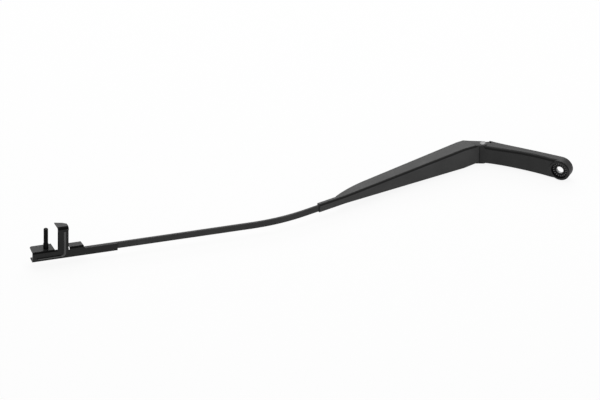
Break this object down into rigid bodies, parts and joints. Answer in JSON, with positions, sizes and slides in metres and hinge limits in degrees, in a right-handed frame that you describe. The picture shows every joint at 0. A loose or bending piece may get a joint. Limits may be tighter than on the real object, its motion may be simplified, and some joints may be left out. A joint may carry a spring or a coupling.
{
  "type": "windscreen wiper arm",
  "caption": "Black windscreen wiper arm folded open at its hinge: cranked head with spindle boss, tapering channel, flat rod, and a side pin with a hook strap for the blade.",
  "frame": {"origin": "on the spindle axis, at the nut seat in the boss", "axes": "+Y along the spindle into the vehicle, -X along the head from the spindle to the hinge, +Z along the hinge pin and the blade pin, up as the arm lies on its side"},
  "size_m": [0.4835, 0.4018, 0.0479],
  "materials": {
    "head_coat": "satin",
    "arm_coat": "satin",
    "rod_coat": "satin",
    "tip_coat": "satin",
    "pin_coat": "satin",
    "bare_steel": "turned",
    "spring_steel": "oiled",
    "bush_plastic": "matte"
  },
  "bodies": {
    "head": {"mounting_head": "head_coat", "spring_anchor_pin": "bare_steel", "hinge_bush_upper": "bush_plastic", "hinge_bush_lower": "bush_plastic"},
    "arm": {"arm_channel": "arm_coat", "hinge_pin": "bare_steel", "arm_rod": "rod_coat", "tension_spring": "spring_steel", "rod_carrier": "tip_coat", "blade_bracket": "tip_coat", "blade_pin": "pin_coat"},
    "link": {"spring_link": "bare_steel"}
  },
  "joints": [
    {"name": "arm_lift", "type": "hinge", "parent": "head", "child": "arm", "pos_m": [-0.092, -0.0005, 0], "axis": [0, 0, -1], "range_deg": [0, 68], "deforming": ["tension_spring"]},
    {"name": "link_swing", "type": "hinge", "parent": "head", "child": "link", "pos_m": [-0.086, 0.0055, 0], "axis": [0, 0, -1], "range_deg": [0, 64.94]}
  ],
  "couplings": [
    {"joint": "link_swing", "follows": "arm_lift", "ratio": 0.9476}
  ]
}
